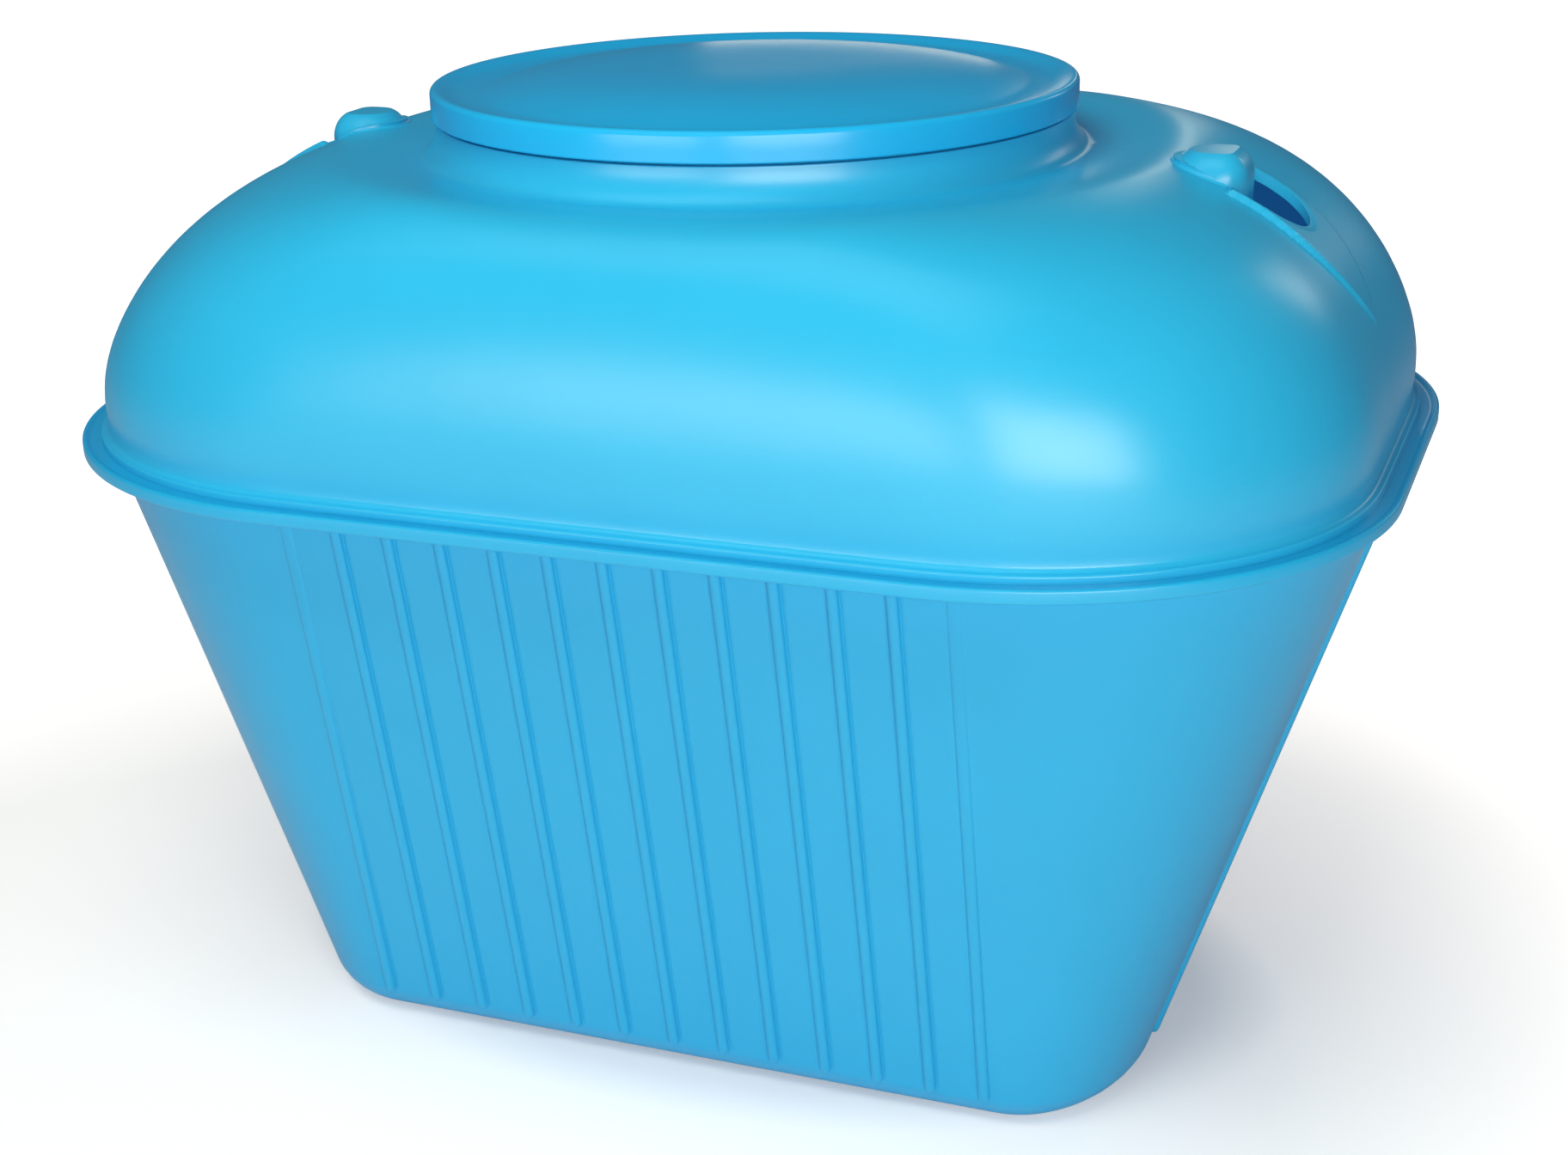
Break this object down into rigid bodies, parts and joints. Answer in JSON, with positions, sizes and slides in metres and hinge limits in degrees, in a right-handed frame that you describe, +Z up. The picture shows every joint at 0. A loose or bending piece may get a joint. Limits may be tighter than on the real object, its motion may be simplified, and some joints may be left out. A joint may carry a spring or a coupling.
{
  "type": "septic tank",
  "caption": "Moulded plastic septic tank: tapered ribbed tub, pillow-shaped dome on a wide rim, round manhole neck with a lift-off lid, and a hooded pipe port at each end.",
  "frame": {"origin": "centre of the base on the ground", "axes": "+X along the tank towards its right end, -Y towards its front, +Z up"},
  "size_m": [1.252, 0.898, 0.919],
  "materials": {
    "tub_plastic": "satin moulded polyethylene, sky blue",
    "dome_plastic": "satin moulded polyethylene, sky blue",
    "lid_plastic": "satin moulded polyethylene, sky blue"
  },
  "bodies": {
    "tank": {"tub_floor": "tub_plastic", "tub_front_wall": "tub_plastic", "tub_back_wall": "tub_plastic", "tub_left_wall": "tub_plastic", "tub_right_wall": "tub_plastic", "tub_front_left_corner": "tub_plastic", "tub_front_right_corner": "tub_plastic", "tub_back_left_corner": "tub_plastic", "tub_back_right_corner": "tub_plastic", "front_ribs": "tub_plastic", "back_ribs": "tub_plastic", "left_ribs": "tub_plastic", "right_ribs": "tub_plastic", "tub_rim": "tub_plastic", "dome_foot": "dome_plastic", "dome_front": "dome_plastic", "dome_back": "dome_plastic", "dome_left_end": "dome_plastic", "dome_right_end": "dome_plastic", "dome_front_left": "dome_plastic", "dome_front_right": "dome_plastic", "dome_back_left": "dome_plastic", "dome_back_right": "dome_plastic", "left_port_hood": "dome_plastic", "right_port_hood": "dome_plastic", "left_port_lip": "dome_plastic", "right_port_lip": "dome_plastic", "manhole_neck": "dome_plastic"},
    "lid": {"lid_crown": "lid_plastic", "lid_skirt": "lid_plastic"}
  },
  "joints": [
    {"name": "lid_lift", "type": "slide", "parent": "tank", "child": "lid", "axis": [0, 0, 1], "range_m": [0, 0.3]}
  ]
}
